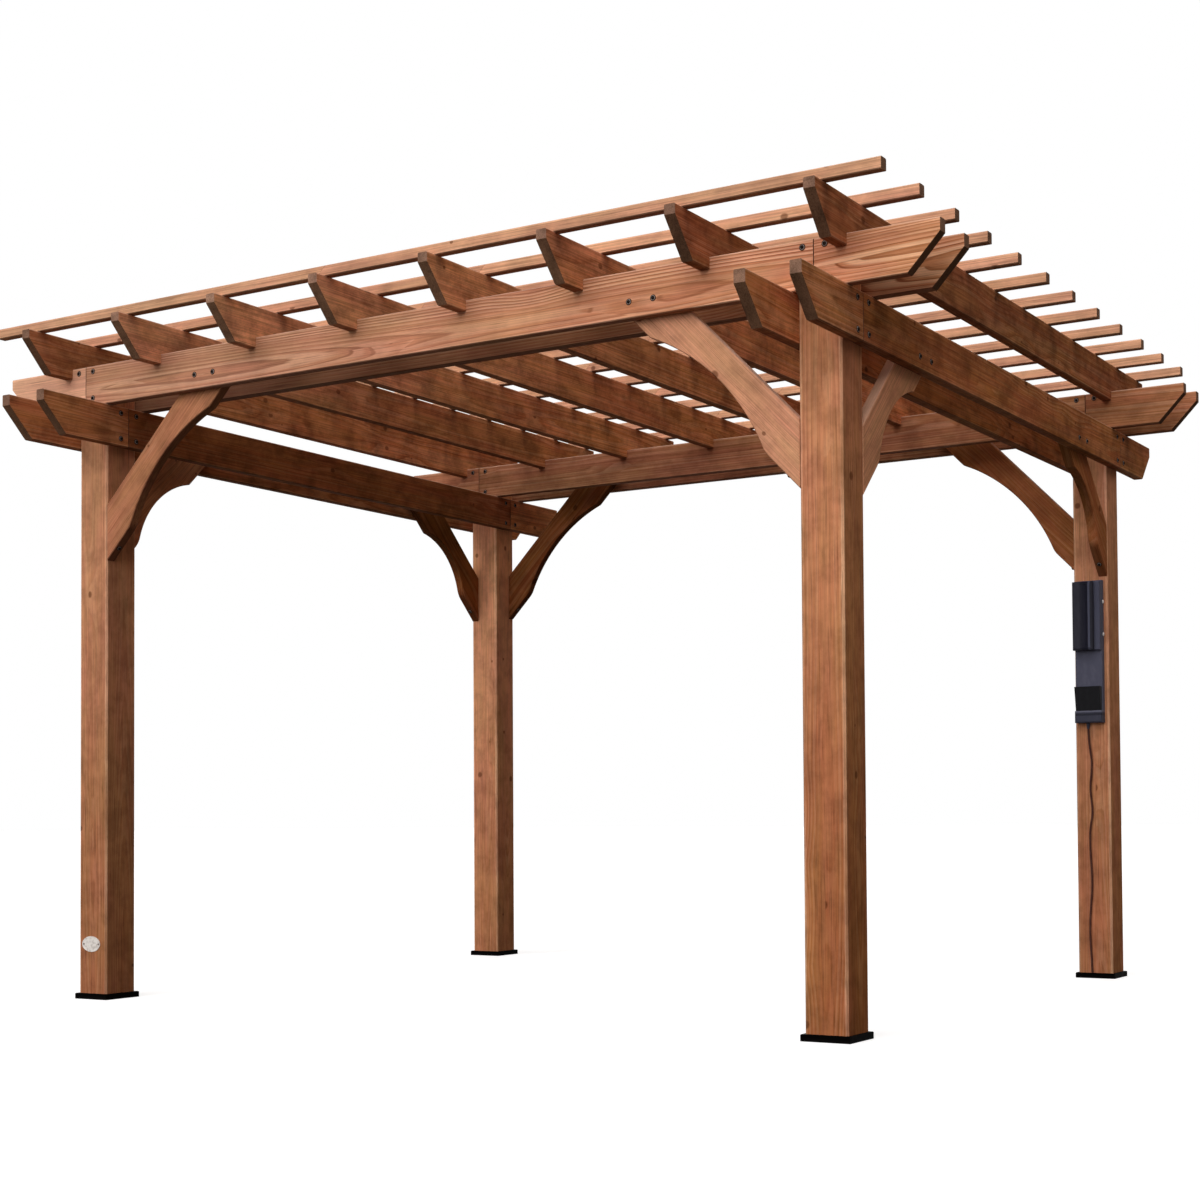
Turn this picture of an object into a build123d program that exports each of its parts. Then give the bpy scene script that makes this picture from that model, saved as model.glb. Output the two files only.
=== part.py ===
"""Open timber pergola: four posts carry doubled beams and headers, notched rafters and slats.

X runs along the headers, Y from the front to the rear, Z up. The origin is on the ground,
midway between the posts. All lengths are in millimetres.
"""
from build123d import *
from math import radians, sqrt, tan
import os

# Posts and their feet
post_size = 134.0
post_spacing_x = 2888.0
post_spacing_y = 2318.0
post_ease = 5.0
foot_lip = 10.0
foot_height = 20.0
foot_ease = 2.0

# Doubled beams along Y, doubled headers along X on top of them
board_thickness = 36.0
board_height = 140.0
board_ease = 2.5
beam_bottom = 1960.0
beam_overhang = 379.0
header_overhang = 381.0
tail_nose = 37.0
tail_run = 98.0
splice_gap = 3.0

# Rafters along Y, notched over each header board
rafter_count = 8
rafter_thickness = 36.0
rafter_height = 140.0
rafter_overhang = 296.0
rafter_nose = 30.0
notch_depth = 35.0
notch_clearance = 0.5

# Slats along X on the rafters, each in two lengths that meet in a slanted scarf
purlin_count = 12
purlin_size = 34.0
purlin_inset = 58.0
purlin_setback = 103.0
scarf_gap = 1.0

# Knee braces with an arched lower edge
brace_thickness = 36.0
brace_width = 140.0
header_brace_tip = 1551.0
beam_brace_tip = 1538.0
brace_tuck = 90.0
brace_low_land = 158.0
brace_high_land = 82.0
brace_relief = 55.0
brace_corner_round = 90.0

# Power unit on the rear right post
unit_bottom = 977.0
unit_width = 108.0
unit_depth = 24.0
unit_height = 546.0
unit_shift = 4.0
unit_round = 6.0
sill_depth = 39.0
sill_height = 46.0
lip_depth = 36.0
lip_height = 10.0
lip_round = 3.0
hood_width = 104.0
hood_height = 263.0
hood_frame_depth = 16.0
hood_frame_round = 4.0
door_width = 80.0
door_depth = 38.0
door_round = 9.0
door_rib_width = 8.0
door_rib_height = 3.0
door_rib_shift = 16.0
channel_radius = 30.0
channel_depth = 4.0
channel_shift = -4.0
pocket_width = 100.0
pocket_height = 92.0
pocket_foot_depth = 10.0
pocket_mouth_depth = 26.0
pocket_wall = 3.0
pocket_floor = 4.0

# Supply lead below the unit and the gland that it leaves by
lead_diameter = 8.0
lead_clearance = 0.3
lead_arc_share = 0.45
gland_radius = 7.5
gland_tip_radius = 4.6
gland_length = 22.0
gland_offset = 8.0
gland_shift = 10.0

cut_overrun = 10.0

half_x = post_spacing_x / 2
half_y = post_spacing_y / 2
half_post = post_size / 2
header_bottom = beam_bottom + board_height
header_top = header_bottom + board_height
rafter_bottom = header_top - notch_depth
rafter_top = rafter_bottom + rafter_height
board_offset = half_post + board_thickness / 2
header_half = half_x + header_overhang
beam_half = half_y + beam_overhang
rafter_half = half_y + rafter_overhang

sides_x = (("left", -1), ("right", 1))
sides_y = (("front", -1), ("rear", 1))
parts = {}


def profile_solid(outline, plane, thickness):
    """Extrude a closed outline evenly to both sides of its plane."""
    return extrude(plane * make_face(outline), amount=thickness / 2, both=True)


def board(start, end, height, nose, run, thickness, plane, axis):
    """Sawn board with eased long edges; its far end has a short nose over a slanted cut if run is set."""
    if run:
        tip = [(end - run, 0), (end, height - nose), (end, height)]
    else:
        tip = [(end, 0), (end, height)]
    outline = Polyline((start, 0), *tip, (start, height), close=True)
    solid = profile_solid(outline, plane, thickness)
    return chamfer(solid.edges().filter_by(axis), board_ease)


def plain_board(start, end, plane, axis):
    return board(start, end, board_height, 0, 0, board_thickness, plane, axis)


def tail_board(start, end, plane, axis):
    return board(start, end, board_height, tail_nose, tail_run, board_thickness, plane, axis)


# Posts stand on black foot plates that show a narrow lip all round
post_blank = Box(post_size, post_size, header_top - foot_height, align=(Align.CENTER, Align.CENTER, Align.MIN))
post_blank = chamfer(post_blank.edges().filter_by(Axis.Z), post_ease)
foot_size = post_size + 2 * foot_lip
foot_blank = Box(foot_size, foot_size, foot_height, align=(Align.CENTER, Align.CENTER, Align.MIN))
foot_blank = chamfer(foot_blank.faces().sort_by(Axis.Z)[-1].edges(), foot_ease)
for name_y, side_y in sides_y:
    for name_x, side_x in sides_x:
        place = Pos(side_x * half_x, side_y * half_y, 0)
        parts[f"post_{name_y}_{name_x}"] = place * Pos(0, 0, foot_height) * post_blank
        parts[f"foot_{name_y}_{name_x}"] = place * foot_blank

# Side beams: two boards clasp the posts of each side, spliced at the post centres
beam_middle = plain_board(-half_y + splice_gap / 2, half_y - splice_gap / 2, Plane.YZ, Axis.Y)
beam_tail = tail_board(half_y + splice_gap / 2, beam_half, Plane.YZ, Axis.Y)
for name_x, side_x in sides_x:
    lines = [side_x * half_x + board_side * board_offset for board_side in (-1, 1)]
    parts[f"{name_x}_beam"] = Compound([Pos(x, 0, beam_bottom) * beam_middle for x in lines])
    for name_y, side_y in sides_y:
        tail = beam_tail if side_y > 0 else mirror(beam_tail, about=Plane.XZ)
        parts[f"{name_y}_{name_x}_beam_tails"] = Compound([Pos(x, 0, beam_bottom) * tail for x in lines])

# Headers: the same doubled boards along X, resting on the side beams
header_middle = plain_board(-half_x + splice_gap / 2, half_x - splice_gap / 2, Plane.XZ, Axis.X)
header_tail = tail_board(half_x + splice_gap / 2, header_half, Plane.XZ, Axis.X)
header_lines = []
for name_y, side_y in sides_y:
    lines = [side_y * half_y + board_side * board_offset for board_side in (-1, 1)]
    header_lines += lines
    parts[f"{name_y}_header"] = Compound([Pos(0, y, header_bottom) * header_middle for y in lines])
    for name_x, side_x in sides_x:
        tail = header_tail if side_x > 0 else mirror(header_tail, about=Plane.YZ)
        parts[f"{name_y}_header_{name_x}_tails"] = Compound([Pos(0, y, header_bottom) * tail for y in lines])

# Rafters: the outer ones stand over the outer beam boards, the rest are evenly spaced between
rafter_line = half_x + board_offset
rafter_lines = [rafter_line * (2 * i / (rafter_count - 1) - 1) for i in range(rafter_count)]
rafter_side = board(0, rafter_half, rafter_height, rafter_nose, tail_run, rafter_thickness, Plane.YZ, Axis.Y)
rafter_blank = rafter_side + mirror(rafter_side, about=Plane.XZ)
notch = Box(
    rafter_thickness + cut_overrun,
    board_thickness + 2 * notch_clearance,
    notch_depth + cut_overrun,
    align=(Align.CENTER, Align.CENTER, Align.MAX),
)
for y in header_lines:
    rafter_blank -= Pos(0, y, notch_depth) * notch
for i, x in enumerate(rafter_lines):
    parts[f"rafter_{i + 1}"] = Pos(x, 0, rafter_bottom) * rafter_blank

# Slats: the scarf of each row lies over one of the two middle rafters, in turn
purlin_half = header_half - purlin_setback
purlin_span = rafter_half - purlin_inset
scarf_half = purlin_size / 2


def purlin(scarf, side):
    """One length of a slat, from its scarf to its outer end."""
    joint = scarf + side * scarf_gap / 2
    outline = Polyline(
        (joint - scarf_half, 0),
        (side * purlin_half, 0),
        (side * purlin_half, purlin_size),
        (joint + scarf_half, purlin_size),
        close=True,
    )
    solid = profile_solid(outline, Plane.XZ, purlin_size)
    return chamfer(solid.edges().filter_by(Axis.X), board_ease)


for name_x, side_x in sides_x:
    for name_y, side_y in sides_y:
        rows = []
        for i in range(purlin_count):
            y = purlin_span * (2 * i / (purlin_count - 1) - 1)
            if y * side_y > 0:
                scarf = rafter_lines[rafter_count // 2 - 1 + i % 2]
                rows.append(Pos(0, y, rafter_top) * purlin(scarf, side_x))
        parts[f"{name_y}_purlins_{name_x}"] = Compound(rows)

# Knee braces lie flush with the outer faces of the posts and tuck in behind the outer boards
brace_rise = brace_width * sqrt(2)
brace_low = brace_low_land / sqrt(2)
brace_sag = brace_relief / sqrt(2)


def brace(tip, seat, plane, axis):
    """Brace from the post at zero, rising from tip; seat is where its board's lower edge meets it."""
    top = seat + brace_tuck
    high = seat - tip - brace_high_land / sqrt(2)
    middle = (brace_low + high) / 2
    edge = Polyline((high, tip + high), (top - tip, top), (top - tip - brace_rise, top))
    edge += Polyline((top - tip - brace_rise, top), (0, tip + brace_rise), (0, tip))
    edge += Line((0, tip), (brace_low, tip + brace_low))
    edge += ThreePointArc(
        (brace_low, tip + brace_low), (middle - brace_sag, tip + middle + brace_sag), (high, tip + high)
    )
    solid = profile_solid(edge, plane, brace_thickness)
    corner = plane.from_local_coords((brace_low, tip + brace_low, 0))
    solid = fillet(solid.edges().filter_by(axis).sort_by_distance(corner)[0], brace_corner_round)
    return chamfer(solid.faces().filter_by(axis).edges(), board_ease)


header_brace = brace(header_brace_tip, header_bottom, Plane.XZ, Axis.Y)
beam_brace = brace(beam_brace_tip, beam_bottom, Plane.YZ, Axis.X)
brace_line = half_post - brace_thickness / 2
for name_y, side_y in sides_y:
    for name_x, side_x in sides_x:
        along_x = header_brace if side_x < 0 else mirror(header_brace, about=Plane.YZ)
        place = Pos(side_x * (half_x - half_post), side_y * (half_y + brace_line), 0)
        parts[f"{name_y}_{name_x}_header_brace"] = place * along_x
        along_y = beam_brace if side_y < 0 else mirror(beam_brace, about=Plane.XZ)
        place = Pos(side_x * (half_x + brace_line), side_y * (half_y - half_post), 0)
        parts[f"{name_y}_{name_x}_beam_brace"] = place * along_y

# Power unit: a tall housing on the front face of the rear right post, with a hood and a pocket
unit_x = half_x - unit_shift
unit_y = half_y - half_post
unit_place = Pos(unit_x, unit_y, unit_bottom)
back_bottom = (Align.CENTER, Align.MAX, Align.MIN)
housing = Box(unit_width, unit_depth, unit_height, align=back_bottom)
housing = fillet(housing.faces().sort_by(Axis.Y)[0].edges(), unit_round)
sill = Box(unit_width, sill_depth, sill_height - lip_height, align=back_bottom)
sill = fillet(sill.faces().sort_by(Axis.Y)[0].edges(), unit_round)
lip = Box(unit_width, lip_depth, sill_height, align=back_bottom)
lip = fillet(lip.faces().sort_by(Axis.Y)[0].edges(), lip_round)
gland = Pos(-gland_shift, -gland_offset, 0) * Cone(
    gland_tip_radius, gland_radius, gland_length, align=(Align.CENTER, Align.CENTER, Align.MAX)
)
parts["power_housing"] = unit_place * (housing + sill + lip + gland)

# Hood: a frame with a deeper door on its left part, which has a finger channel and a rib along it
back_top = (Align.CENTER, Align.MAX, Align.MAX)
hood = Box(hood_width, hood_frame_depth, hood_height, align=back_top)
hood = fillet(hood.faces().sort_by(Axis.Y)[0].edges(), hood_frame_round)
door = Box(door_width, door_depth, hood_height, align=back_top)
door = fillet(door.faces().sort_by(Axis.Y)[0].edges(), door_round)
hood += Pos((door_width - hood_width) / 2, 0, 0) * door
flat_height = hood_height - 2 * door_round
channel = Cylinder(channel_radius, flat_height, align=(Align.CENTER, Align.CENTER, Align.MAX))
hood -= Pos(channel_shift, channel_depth - channel_radius - door_depth, -door_round) * channel
rib = Box(door_rib_width, door_rib_height + door_round, flat_height, align=back_top)
hood += Pos(door_rib_shift, door_round - door_depth, -door_round) * rib
parts["outlet_hood"] = unit_place * Pos(0, -unit_depth, unit_height - unit_round) * hood

pocket_outline = Polyline(
    (0, 0), (-pocket_foot_depth, 0), (-pocket_mouth_depth, pocket_height), (0, pocket_height), close=True
)
pocket_hollow = Polyline(
    (0, pocket_floor),
    (pocket_wall - pocket_foot_depth, pocket_floor),
    (pocket_wall - pocket_mouth_depth, pocket_height),
    (pocket_wall - pocket_mouth_depth, pocket_height + cut_overrun),
    (0, pocket_height + cut_overrun),
    close=True,
)
pocket = profile_solid(pocket_outline, Plane.YZ, pocket_width)
pocket -= profile_solid(pocket_hollow, Plane.YZ, pocket_width - 2 * pocket_wall)
parts["phone_pocket"] = unit_place * Pos(0, -unit_depth, sill_height) * pocket

# Lead: hangs from the gland close to the post face and ends on the lip of the foot.
# Each point is a shift along X and a distance from the post face, at a height above ground.
lead_top = (unit_x - half_x - gland_shift, gland_offset, unit_bottom - gland_length)
lead_route = [
    lead_top,
    (lead_top[0], gland_offset, 930.0),
    (-9.0, 7.0, 878.0),
    (-2.0, 5.4, 828.0),
    (-5.0, 5.0, 780.0),
    (-11.0, 5.8, 734.0),
    (-6.0, 6.6, 680.0),
    (-1.0, 6.0, 629.0),
    (-13.0, 4.8, 574.0),
    (-14.0, 5.2, 520.0),
    (-12.0, 6.0, 462.0),
    (-8.0, 5.6, 400.0),
    (-8.0, 4.6, 336.0),
    (-14.0, 4.8, 274.0),
    (-18.0, 5.6, 216.0),
    (-19.0, 5.0, 160.0),
    (-16.0, 4.4, 106.0),
    (-13.0, 4.6, 60.0),
    (-12.0, 5.0, foot_height + lead_clearance),
]
points = [Vector(half_x + x, unit_y - y, z) for x, y, z in lead_route]
radii = []
for before, here, after in zip(points, points[1:], points[2:]):
    turn = (here - before).get_angle(after - here)
    shorter = min((here - before).length, (after - here).length)
    radii.append(lead_arc_share * shorter / tan(radians(turn / 2)))
lead_path = FilletPolyline(*points, radius=radii)
lead_section = Plane(lead_path @ 0, z_dir=lead_path % 0) * Circle(lead_diameter / 2)
parts["lead"] = sweep(lead_section, path=lead_path)
print("lead length", round(lead_path.length, 1), "radii", [round(radius) for radius in radii])

os.makedirs("parts", exist_ok=True)
for name, shape in parts.items():
    export_step(shape, f"parts/{name}.step")
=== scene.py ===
from math import pi, radians

import bmesh
import bpy
from mathutils import Euler, Matrix, Vector


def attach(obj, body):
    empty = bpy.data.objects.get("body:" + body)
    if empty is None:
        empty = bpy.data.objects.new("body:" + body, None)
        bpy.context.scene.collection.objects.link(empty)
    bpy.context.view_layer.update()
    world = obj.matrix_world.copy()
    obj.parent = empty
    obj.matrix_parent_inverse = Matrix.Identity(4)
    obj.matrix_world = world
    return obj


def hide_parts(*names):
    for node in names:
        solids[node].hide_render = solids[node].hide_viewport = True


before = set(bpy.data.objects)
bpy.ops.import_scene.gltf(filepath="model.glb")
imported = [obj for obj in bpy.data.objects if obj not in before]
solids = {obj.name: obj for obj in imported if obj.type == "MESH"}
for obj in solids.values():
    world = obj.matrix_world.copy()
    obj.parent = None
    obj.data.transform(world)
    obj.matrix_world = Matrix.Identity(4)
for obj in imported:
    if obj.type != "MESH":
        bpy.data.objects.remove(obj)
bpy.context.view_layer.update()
scene = bpy.context.scene


# Foot plates: four square steel plates that carry the posts, cut from flat bar and powder coated black.
# The coat has a fine orange peel, and ground dust dulls it towards its lower edge.
SIDES_X = (("left", -1), ("right", 1))
SIDES_Y = (("front", -1), ("rear", 1))
NOISE_RANGE = (0.2, 0.8)
COAT_BLACK = (0.0012, 0.001, 0.001, 1.0)
COAT_DUSTY = (0.006, 0.005, 0.0045, 1.0)
COAT_ROUGHNESS = (0.42, 0.62)
COAT_GLOSS = 0.006
COAT_RELIEF = (0.12, 0.0006)
PEEL_CYCLES = (420.0, 420.0, 420.0)
DUST_CYCLES = (38.0, 38.0, 60.0)
DUST_HEIGHT, DUST_SHARE = 0.014, 0.8


def add_node(tree, kind, inputs, **settings):
    """One shader node: each input is a plain value or another node's output."""
    node = tree.nodes.new("ShaderNode" + kind)
    for setting, value in settings.items():
        setattr(node, setting, value)
    for socket, value in inputs.items():
        if isinstance(value, bpy.types.NodeSocket):
            tree.links.new(value, node.inputs[socket])
        else:
            node.inputs[socket].default_value = value
    return node


def reckon(tree, operation, *values):
    """One sum on numbers or outputs."""
    return add_node(tree, "Math", dict(enumerate(values)), operation=operation).outputs[0]


def product(tree, first, *others):
    """Numbers or outputs multiplied together."""
    for other in others:
        first = reckon(tree, "MULTIPLY", first, other)
    return first


def fade(tree, value, start, end, low=0.0, high=1.0):
    """Smooth step of a value from low at start to high at end."""
    inputs = {"Value": value, "From Min": start, "From Max": end, "To Min": low, "To Max": high}
    return add_node(tree, "MapRange", inputs, interpolation_type="SMOOTHSTEP").outputs[0]


def axes(tree, point):
    """The X, Y and Z of a point."""
    return add_node(tree, "SeparateXYZ", {0: point}).outputs


def stretched_noise(tree, place, cycles, detail, roughness=0.5):
    """Noise whose grain is longer or finer along each axis, by its cycles per metre there."""
    place = add_node(tree, "VectorMath", {0: place, 1: cycles}, operation="MULTIPLY").outputs[0]
    inputs = {"Vector": place, "Scale": 1.0, "Detail": detail, "Roughness": roughness}
    return add_node(tree, "TexNoise", inputs).outputs


def blend(tree, share, first, second):
    """Colour between two colours by a share."""
    mix = add_node(tree, "Mix", {}, data_type="RGBA")
    for socket, value in zip((mix.inputs[0], mix.inputs[6], mix.inputs[7]), (share, first, second)):
        if isinstance(value, bpy.types.NodeSocket):
            tree.links.new(value, socket)
        else:
            socket.default_value = value
    return mix.outputs[2]


def new_finish(name):
    """A node material with its tree and its shader."""
    material = bpy.data.materials.new(name)
    material.use_nodes = True
    return material, material.node_tree, material.node_tree.nodes["Principled BSDF"]


def whereabouts(tree):
    """Where a point of the piece lies, and which way its face looks, in the shared frame."""
    return add_node(tree, "TexCoord", {}).outputs


def lay_finish(tree, shader, colour, roughness, gloss, grain, relief):
    """Give the shader its colour, roughness and gloss, and a grain in relief of a strength and a height."""
    strength, height = relief
    tree.links.new(colour, shader.inputs["Base Color"])
    tree.links.new(roughness, shader.inputs["Roughness"])
    shader.inputs["Specular IOR Level"].default_value = gloss
    bump = add_node(tree, "Bump", {"Strength": strength, "Distance": height, "Height": grain})
    tree.links.new(bump.outputs[0], shader.inputs["Normal"])


def put_on(node, material):
    """Give a solid its finish."""
    solids[node].material_slots[0].material = material


def powder_coat(name, colour, dusty):
    """Coloured powder coat with orange peel, greyed by dust towards the ground."""
    material, tree, shader = new_finish(name)
    place = whereabouts(tree)["Object"]
    peel = stretched_noise(tree, place, PEEL_CYCLES, detail=2.0)[0]
    cloud = stretched_noise(tree, place, DUST_CYCLES, detail=3.0)[0]
    dust = fade(tree, axes(tree, place)[2], DUST_HEIGHT, 0.0, 0.0, DUST_SHARE)
    coat = blend(tree, product(tree, dust, cloud), colour, dusty)
    roughness = fade(tree, cloud, *NOISE_RANGE, *COAT_ROUGHNESS)
    lay_finish(tree, shader, coat, roughness, COAT_GLOSS, peel, COAT_RELIEF)
    return material


foot_black = powder_coat("foot_black_coat", COAT_BLACK, COAT_DUSTY)
for end, _ in SIDES_Y:
    for side, _ in SIDES_X:
        put_on(f"foot_{end}_{side}", foot_black)


# Posts: four square sticks of stained softwood with eased corners, sawn round the heart of the log.
# Growth rings run as long flames up each face, small knots come through, and the corners are paler, partly
# worn and partly a painted highlight.
# They stand on the foot plates and run up between the doubled boards.
PALE_WOOD = (0.70, 0.356, 0.196, 1.0)
WARM_WOOD = (0.47, 0.176, 0.075, 1.0)
LATE_WOOD = (0.225, 0.066, 0.022, 1.0)
KNOT_WOOD = (0.13, 0.042, 0.017, 1.0)
BLEACHED_WOOD = (0.67, 0.365, 0.222, 1.0)
NOSE_WOOD = (0.21, 0.125, 0.085, 1.0)
# Slanted cuts are darker than upright noses partly as painted shade.
SLANT_WOOD_AND_SHADE = (0.13, 0.07, 0.04, 1.0)
# The worn corner colour is partly a painted highlight.
WORN_AND_HIGHLIT_WOOD = (0.88, 0.52, 0.32, 1.0)
# The weathered colour on faces that look up is partly a painted skylight.
WEATHERED_AND_SKYLIT_WOOD = (0.72, 0.48, 0.36, 1.0)


def channels(tree, colour):
    """The red, green and blue of a colour, as three numbers."""
    return add_node(tree, "SeparateColor", {0: colour}).outputs


def point_at(tree, x, y, z=0.0):
    """A point from three numbers or outputs."""
    return add_node(tree, "CombineXYZ", {0: x, 1: y, 2: z}).outputs[0]


def length(tree, spoke):
    """How long a spoke from zero to a point is."""
    return add_node(tree, "VectorMath", {0: spoke}, operation="LENGTH").outputs["Value"]


def luck(tree, number):
    """The chance value and chance colour that belong to a number."""
    return add_node(tree, "TexWhiteNoise", {"W": number}, noise_dimensions="1D").outputs


# Heart of the log: how far the logs differ in its place, and how it wanders along them
PITH_SPREAD_Y, PITH_SPREAD_Z = (0.7, 1.3), (-1.0, 1.0)
WANDER_CYCLES, WANDER_Y, WANDER_Z = (0.33, 0.0, 0.0), 0.024, 0.03


def round_the_heart(tree, in_log, pith, chance_y, chance_z):
    """Angle round the heart of the log and distance from it."""
    _, across, height = axes(tree, in_log)
    wander = stretched_noise(tree, in_log, WANDER_CYCLES, detail=1.0)["Color"]
    wander_y, wander_z, _ = channels(tree, wander)
    pith_y = product(tree, fade(tree, chance_y, 0.0, 1.0, *PITH_SPREAD_Y), pith[0])
    pith_z = product(tree, fade(tree, chance_z, 0.0, 1.0, *PITH_SPREAD_Z), pith[1])
    pith_y = reckon(tree, "ADD", pith_y, fade(tree, wander_y, *NOISE_RANGE, -WANDER_Y, WANDER_Y))
    pith_z = reckon(tree, "ADD", pith_z, fade(tree, wander_z, *NOISE_RANGE, -WANDER_Z, WANDER_Z))
    off_y = reckon(tree, "SUBTRACT", across, pith_y)
    off_z = reckon(tree, "SUBTRACT", height, pith_z)
    return reckon(tree, "ARCTAN2", off_z, off_y), length(tree, point_at(tree, off_y, off_z))


# Branches: their pitch along the log, how many go to a radian round it, and how they scatter
KNOT_PITCH, KNOT_CELLS, KNOT_SCATTER = 0.38, 0.9, 0.9
KNOT_DRAW, KNOT_RIM, KNOT_CORE, KNOT_SHADE = 0.75, 1.35, 0.7, 0.7
FLAME_REACH, FLAME_SHARE = (0.05, 0.012), 0.3
SWELL_DRAW, SWELL_REACH, SWELL_RISE = (0.36, 1.0, 1.0), 0.055, 0.009


def knots_and_swells(tree, along, angle, radius, knot_sizes, knot_share, swell_share):
    """Branches that grow straight out from the heart, here and there along the log.

    Gives how dark the knot is, how far the rings flame round it, and how far they swell out round it.
    """
    cell_x = reckon(tree, "DIVIDE", along, KNOT_PITCH)
    cell_y = product(tree, angle, KNOT_CELLS)
    cells = {"Vector": point_at(tree, cell_x, cell_y), "Scale": 1.0, "Randomness": KNOT_SCATTER}
    branch = add_node(tree, "TexVoronoi", cells, voronoi_dimensions="2D").outputs
    branch_x, branch_y, _ = axes(tree, branch["Position"])
    size, chance, _ = channels(tree, branch["Color"])
    aside = product(tree, reckon(tree, "SUBTRACT", cell_x, branch_x), KNOT_DRAW * KNOT_PITCH)
    around = reckon(tree, "DIVIDE", reckon(tree, "SUBTRACT", cell_y, branch_y), KNOT_CELLS)
    off_branch = point_at(tree, aside, product(tree, around, radius))
    drawn_out = add_node(tree, "VectorMath", {0: off_branch, 1: SWELL_DRAW}, operation="MULTIPLY").outputs[0]
    reach = length(tree, off_branch)
    size = fade(tree, size, 0.0, 1.0, *knot_sizes)
    rim = product(tree, size, KNOT_RIM)
    core = product(tree, size, KNOT_CORE)
    is_knot = reckon(tree, "LESS_THAN", chance, knot_share)
    is_swell = reckon(tree, "LESS_THAN", chance, knot_share + swell_share)
    knot = product(tree, fade(tree, reach, rim, core, 0.0, KNOT_SHADE), is_knot)
    flame = product(tree, fade(tree, reach, *FLAME_REACH, 0.0, FLAME_SHARE), is_knot)
    swell = product(tree, fade(tree, length(tree, drawn_out), SWELL_REACH, 0.0, 0.0, SWELL_RISE), is_swell)
    return knot, flame, swell


# Rings: how they ripple, and the colours from one late line to the next
RIPPLE_CYCLES, RIPPLE = (0.9, 20.0, 20.0), 0.0016
RING_BANDS = (
    (0.0, LATE_WOOD),
    (0.08, PALE_WOOD),
    (0.42, PALE_WOOD),
    (0.7, WARM_WOOD),
    (0.82, WARM_WOOD),
    (0.91, LATE_WOOD),
    (1.0, LATE_WOOD),
)


def growth_rings(tree, place, growth, ring_width, seed):
    """Rings of pale early wood that darkens to a sharp late line, and how strong each ring is."""
    ripple = stretched_noise(tree, place, RIPPLE_CYCLES, detail=3.0)[0]
    growth = reckon(tree, "ADD", growth, fade(tree, ripple, *NOISE_RANGE, -RIPPLE, RIPPLE))
    rings = reckon(tree, "DIVIDE", growth, ring_width)
    strength = luck(tree, reckon(tree, "ADD", reckon(tree, "FLOOR", rings), seed))["Value"]
    ramp = add_node(tree, "ValToRGB", {0: reckon(tree, "FRACT", rings)})
    for at, _ in RING_BANDS[1:-1]:
        ramp.color_ramp.elements.new(at)
    for element, (at, band) in zip(ramp.color_ramp.elements, RING_BANDS):
        element.position = at
        element.color = band
    return ramp.outputs[0], strength


# Stain: where each noise begins and ends to tell, and how far it darkens or pales the wood
FIBRE_RANGE, FIBRE_DARK, FIBRE_PALE = (0.33, 0.67), 0.2, 0.16
STAIN_RANGE, UNEVEN_LEAST, UNEVEN_MORE, UNEVEN_PALE = (0.25, 0.75), 0.07, 0.1, 0.8
PORE_CYCLES, PORE_RANGE, PORE_TONE = (7.0, 230.0, 230.0), (0.56, 0.72), 0.72
BLOTCH_CYCLES, BLOTCH_RANGE, BLOTCH_DARK, BLOTCH_PALE = (11.0, 14.0, 14.0), (0.3, 0.64), 0.4, 0.16


def stain_tone(tree, place, fibre, stain, mottle, streak):
    """Tone of the stain, which took unevenly: in streaks along the fibres, in the pores and in patches."""
    pore = stretched_noise(tree, place, PORE_CYCLES, detail=2.0)[0]
    blotch = stretched_noise(tree, place, BLOTCH_CYCLES, detail=6.0, roughness=0.68)[0]
    uneven = UNEVEN_LEAST + UNEVEN_MORE * mottle
    return product(
        tree,
        fade(tree, fibre, *FIBRE_RANGE, 1.0 - FIBRE_DARK * streak, 1.0 + FIBRE_PALE * streak),
        fade(tree, stain, *STAIN_RANGE, 1.0 - uneven, 1.0 + UNEVEN_PALE * uneven),
        fade(tree, pore, *PORE_RANGE, 1.0, PORE_TONE),
        fade(tree, blotch, *BLOTCH_RANGE, 1.0 - BLOTCH_DARK * mottle, 1.0 + BLOTCH_PALE * mottle),
    )


# Corners: how far the worn line with its painted highlight wavers, and how soft it is
CHAFE_CYCLES, CHAFE_WAVER, RUB_BLUR = (14.0, 40.0, 40.0), 0.006, 0.002


def paled_corner(tree, place, half_section, ease):
    """One along the eased corners of a square-sawn piece, up to a wavering line: where they are worn paler
    and carry a painted highlight.
    """
    _, across, height = axes(tree, place)
    in_y = reckon(tree, "SUBTRACT", half_section[0], reckon(tree, "ABSOLUTE", across))
    in_z = reckon(tree, "SUBTRACT", half_section[1], reckon(tree, "ABSOLUTE", height))
    chafe = stretched_noise(tree, place, CHAFE_CYCLES, detail=3.0, roughness=0.6)[0]
    inward = reckon(tree, "MULTIPLY_ADD", chafe, -CHAFE_WAVER, reckon(tree, "ADD", in_y, in_z))
    return fade(tree, inward, ease + RUB_BLUR, ease - RUB_BLUR)


# Ends: how squarely a face has to cross the grain to show as a cut, and as an upright one
ANY_CUT, SQUARE_CUT, END_SHARE = (0.5, 0.68), (0.78, 0.95), 0.9


def cut_ends(tree, normal, grain, colour, tone):
    """Darker, drier end grain at the cuts: paler on an upright nose than on a slanted cut, whose darker
    colour is partly a painted shade.
    """
    lengthwise = Euler(grain).to_matrix() @ Vector((1.0, 0.0, 0.0))
    square = add_node(tree, "VectorMath", {0: normal, 1: lengthwise}, operation="DOT_PRODUCT")
    square = reckon(tree, "ABSOLUTE", square.outputs["Value"])
    end_wood = blend(tree, fade(tree, square, *SQUARE_CUT), SLANT_WOOD_AND_SHADE, NOSE_WOOD)
    end_wood = add_node(tree, "HueSaturation", {"Color": end_wood, "Value": tone}).outputs[0]
    return blend(tree, fade(tree, square, *ANY_CUT, 0.0, END_SHARE), colour, end_wood)
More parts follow.
